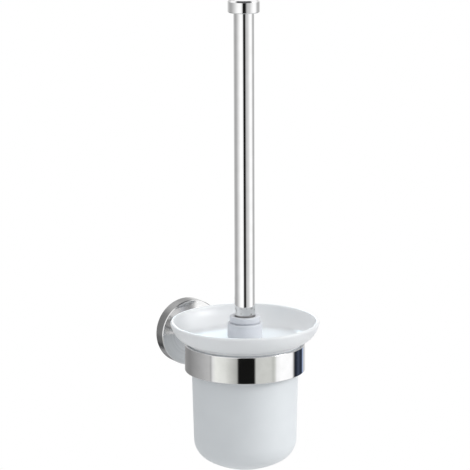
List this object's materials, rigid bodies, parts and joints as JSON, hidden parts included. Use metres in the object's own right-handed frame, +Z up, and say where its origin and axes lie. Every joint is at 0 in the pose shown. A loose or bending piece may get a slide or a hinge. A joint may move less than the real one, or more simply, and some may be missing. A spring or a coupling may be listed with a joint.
{
  "type": "toilet brush holder",
  "caption": "Wall-mounted toilet brush set: polished ring on a short arm, frosted glass cup in the ring, dish lid on a long tube handle with a disc end.",
  "frame": {"origin": "centre of the rosette's back face, on the wall", "axes": "+Z up along the handle, -Y out of the wall into the room, +X to the right of someone who faces the wall"},
  "size_m": [0.1164, 0.1542, 0.3711],
  "materials": {
    "polished_steel": "mirror polished stainless steel",
    "plain_steel": "plain machined steel",
    "screw_steel": "dark zinc",
    "frosted_glass": "satin, etched all over",
    "clear_plastic": "clear, smooth",
    "soft_ring": "matt, translucent",
    "white_plastic": "smooth moulded",
    "brass": "turned",
    "bristle": "matt filament"
  },
  "bodies": {
    "wall_bracket": {"wall_plate": "plain_steel", "rosette_cover": "polished_steel", "clamp_screw": "screw_steel", "arm_screw": "screw_steel", "bracket_arm": "polished_steel", "ring_band": "polished_steel", "ring_liner": "clear_plastic"},
    "cup": {"glass_cup": "frosted_glass"},
    "rim": {"rim_ring": "soft_ring"},
    "brush": {"lid_dish": "frosted_glass", "lid_gasket_upper": "soft_ring", "lid_gasket_lower": "soft_ring", "lid_hub": "white_plastic", "lid_nut": "white_plastic", "handle_collar": "white_plastic", "handle_tube": "polished_steel", "tube_insert": "brass", "cap_insert": "brass", "cap_stud": "screw_steel", "end_cap": "polished_steel", "brush_stem": "plain_steel", "brush_core": "white_plastic", "bristle_band_top": "bristle", "bristle_band_upper": "bristle", "bristle_band_lower": "bristle", "bristle_band_bottom": "bristle", "bristle_tip": "bristle"}
  },
  "joints": [
    {"name": "cup_lift", "type": "slide", "parent": "wall_bracket", "child": "cup", "axis": [0, 0, 1], "range_m": [0, 0.11]},
    {"name": "brush_turn", "type": "hinge", "parent": "cup", "child": "rim", "pos_m": [0, -0.096, 0], "axis": [0, 0, 1], "continuous": true},
    {"name": "brush_lift", "type": "slide", "parent": "rim", "child": "brush", "axis": [0, 0, 1], "range_m": [0, 0.11]}
  ]
}
